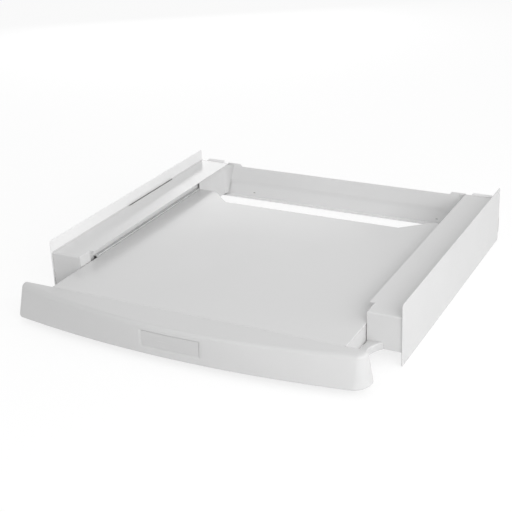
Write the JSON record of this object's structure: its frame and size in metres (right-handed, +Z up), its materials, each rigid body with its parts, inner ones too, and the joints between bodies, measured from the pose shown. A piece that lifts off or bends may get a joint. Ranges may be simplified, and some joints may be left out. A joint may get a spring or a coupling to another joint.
{
  "type": "washer dryer stacking kit",
  "caption": "Stacking frame with folded steel side rails, a rear crossmember and a pull-out shelf on ball runners with a bow-fronted handle.",
  "frame": {"origin": "centre of the outer box in plan, on the plane of the side walls' lower edges", "axes": "+Z up; -Y towards the front, where the shelf pulls out; +X to the right seen from the front"},
  "size_m": [0.6, 0.627, 0.098],
  "materials": {
    "wall_enamel": "smooth semi-gloss white stoved enamel on sheet steel",
    "enamel": "smooth semi-gloss white stoved enamel on sheet steel",
    "shelf_enamel": "smooth satin white stoved enamel on sheet steel",
    "moulding_plastic": "white injection-moulded plastic with a soft gloss",
    "inlay_plastic": "pale satin plastic, blank",
    "zinc_steel": "bright zinc-plated steel",
    "bearing_steel": "polished bearing balls in a greased steel cage",
    "pad_rubber": "dull dark grey rubber"
  },
  "bodies": {
    "frame": {"left_side_wall": "wall_enamel", "right_side_wall": "wall_enamel", "left_top_channel": "enamel", "right_top_channel": "enamel", "left_base_plate": "enamel", "right_base_plate": "enamel", "left_runner_bracket": "enamel", "right_runner_bracket": "enamel", "rear_crossmember": "enamel", "cross_screw_left_upper": "zinc_steel", "cross_screw_left_lower": "zinc_steel", "cross_screw_right_upper": "zinc_steel", "cross_screw_right_lower": "zinc_steel", "left_front_pad": "pad_rubber", "left_rear_pad": "pad_rubber", "right_front_pad": "pad_rubber", "right_rear_pad": "pad_rubber", "left_runner_outer": "zinc_steel", "right_runner_outer": "zinc_steel", "runner_screw_left_front_outer": "zinc_steel", "runner_screw_left_rear_outer": "zinc_steel", "runner_screw_right_front_outer": "zinc_steel", "runner_screw_right_rear_outer": "zinc_steel", "left_runner_stop": "pad_rubber", "right_runner_stop": "pad_rubber"},
    "shelf": {"shelf_panel": "shelf_enamel", "front_stiffener": "enamel", "rear_stiffener": "enamel", "front_moulding": "moulding_plastic", "front_inlay": "inlay_plastic", "left_runner_inner": "zinc_steel", "right_runner_inner": "zinc_steel", "runner_screw_left_front_inner": "zinc_steel", "runner_screw_left_rear_inner": "zinc_steel", "runner_screw_right_front_inner": "zinc_steel", "runner_screw_right_rear_inner": "zinc_steel", "moulding_screw_1": "zinc_steel", "moulding_screw_2": "zinc_steel", "moulding_screw_3": "zinc_steel", "moulding_screw_4": "zinc_steel"},
    "left_cage": {"left_ball_cage": "bearing_steel"},
    "right_cage": {"right_ball_cage": "bearing_steel"}
  },
  "joints": [
    {"name": "shelf_slide", "type": "slide", "parent": "frame", "child": "shelf", "axis": [0, -1, 0], "range_m": [0, 0.25]},
    {"name": "left_cage_roll", "type": "slide", "parent": "frame", "child": "left_cage", "axis": [0, -1, 0], "range_m": [0, 0.125]},
    {"name": "right_cage_roll", "type": "slide", "parent": "frame", "child": "right_cage", "axis": [0, -1, 0], "range_m": [0, 0.125]}
  ],
  "couplings": [
    {"joint": "left_cage_roll", "follows": "shelf_slide", "ratio": 0.5},
    {"joint": "right_cage_roll", "follows": "shelf_slide", "ratio": 0.5}
  ]
}
